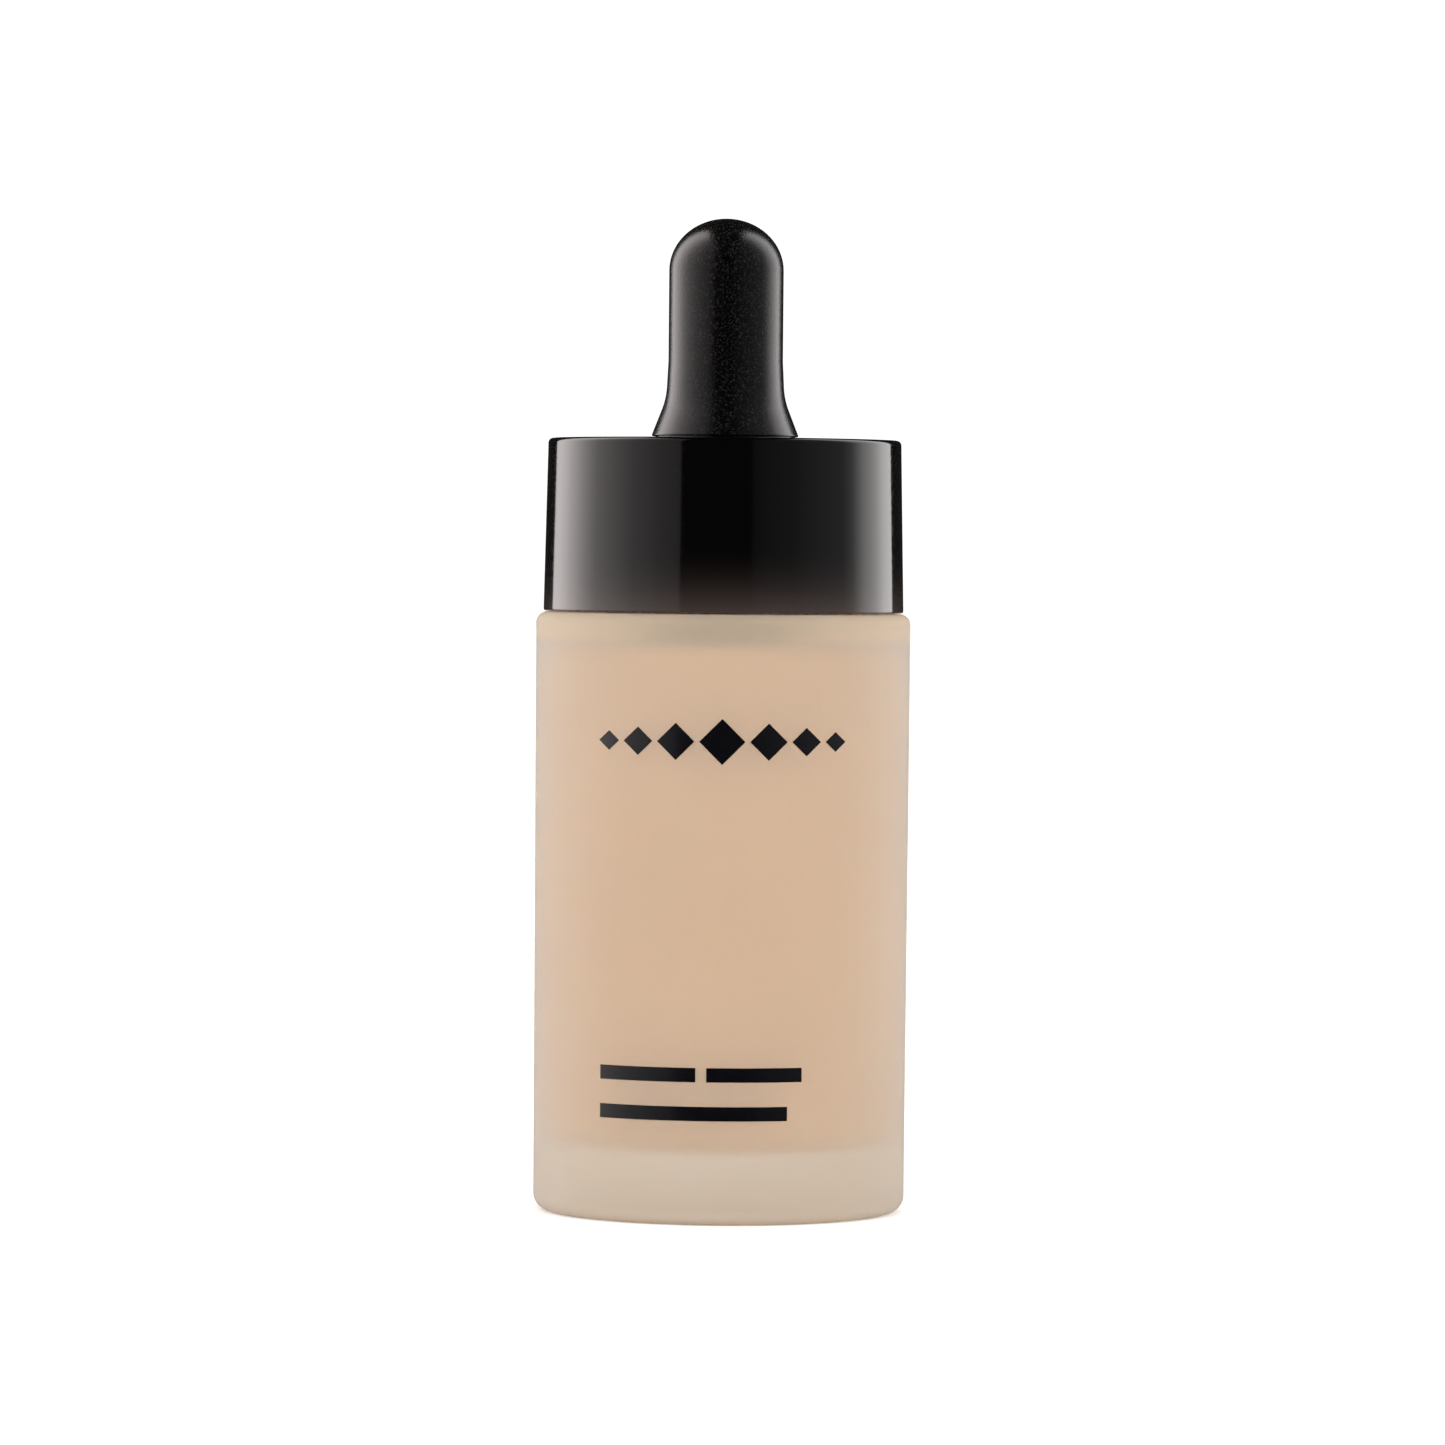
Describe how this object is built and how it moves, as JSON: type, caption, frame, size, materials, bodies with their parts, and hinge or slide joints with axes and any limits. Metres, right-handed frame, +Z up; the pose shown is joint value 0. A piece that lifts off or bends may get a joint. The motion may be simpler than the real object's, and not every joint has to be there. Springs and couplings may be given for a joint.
{
  "type": "dropper bottle",
  "caption": "Frosted glass foundation bottle with a gloss black screw collar, a soft squeeze bulb and a glass pipette that lifts out as the collar unscrews.",
  "frame": {"origin": "centre of the foot, on the surface that the bottle stands on", "axes": "+Z up along the bottle's axis, -Y towards the printed front, +X to the right of the front"},
  "size_m": [0.035, 0.035, 0.0927],
  "materials": {
    "frosted_glass": "satin, acid-frosted outside",
    "foundation_liquid": "smooth cream liquid",
    "wiper_plastic": "soft translucent polyethylene",
    "cap_plastic": "satin moulded polypropylene",
    "collar_gloss": "polished",
    "bulb_rubber": "fine matte",
    "clear_glass": "fire-polished",
    "print_ink": "screen print"
  },
  "bodies": {
    "bottle": {"bottle_glass": "frosted_glass", "foundation_fill": "foundation_liquid", "neck_wiper": "wiper_plastic", "front_emblem": "print_ink", "front_lines": "print_ink"},
    "dropper": {"pipette_tube": "clear_glass", "pipette_fill": "foundation_liquid"},
    "collar": {"collar_shell": "collar_gloss", "screw_cap": "cap_plastic"},
    "bulb": {"dropper_bulb": "bulb_rubber"}
  },
  "joints": [
    {"name": "dropper_rise", "type": "slide", "parent": "bottle", "child": "dropper", "axis": [0, 0, 1], "range_m": [0, 0.0636]},
    {"name": "collar_turn", "type": "hinge", "parent": "dropper", "child": "collar", "pos_m": [0, 0, 0.064], "axis": [0, 0, 1], "range_deg": [0, 7200]},
    {"name": "bulb_press", "type": "slide", "parent": "dropper", "child": "bulb", "axis": [0, 0, -1], "range_m": [0, 0.0035], "stiffness_N_per_m": 1500, "deforming": ["dropper_bulb"]}
  ],
  "couplings": [
    {"joint": "dropper_rise", "follows": "collar_turn", "m_per_rad": 0.00050532}
  ]
}
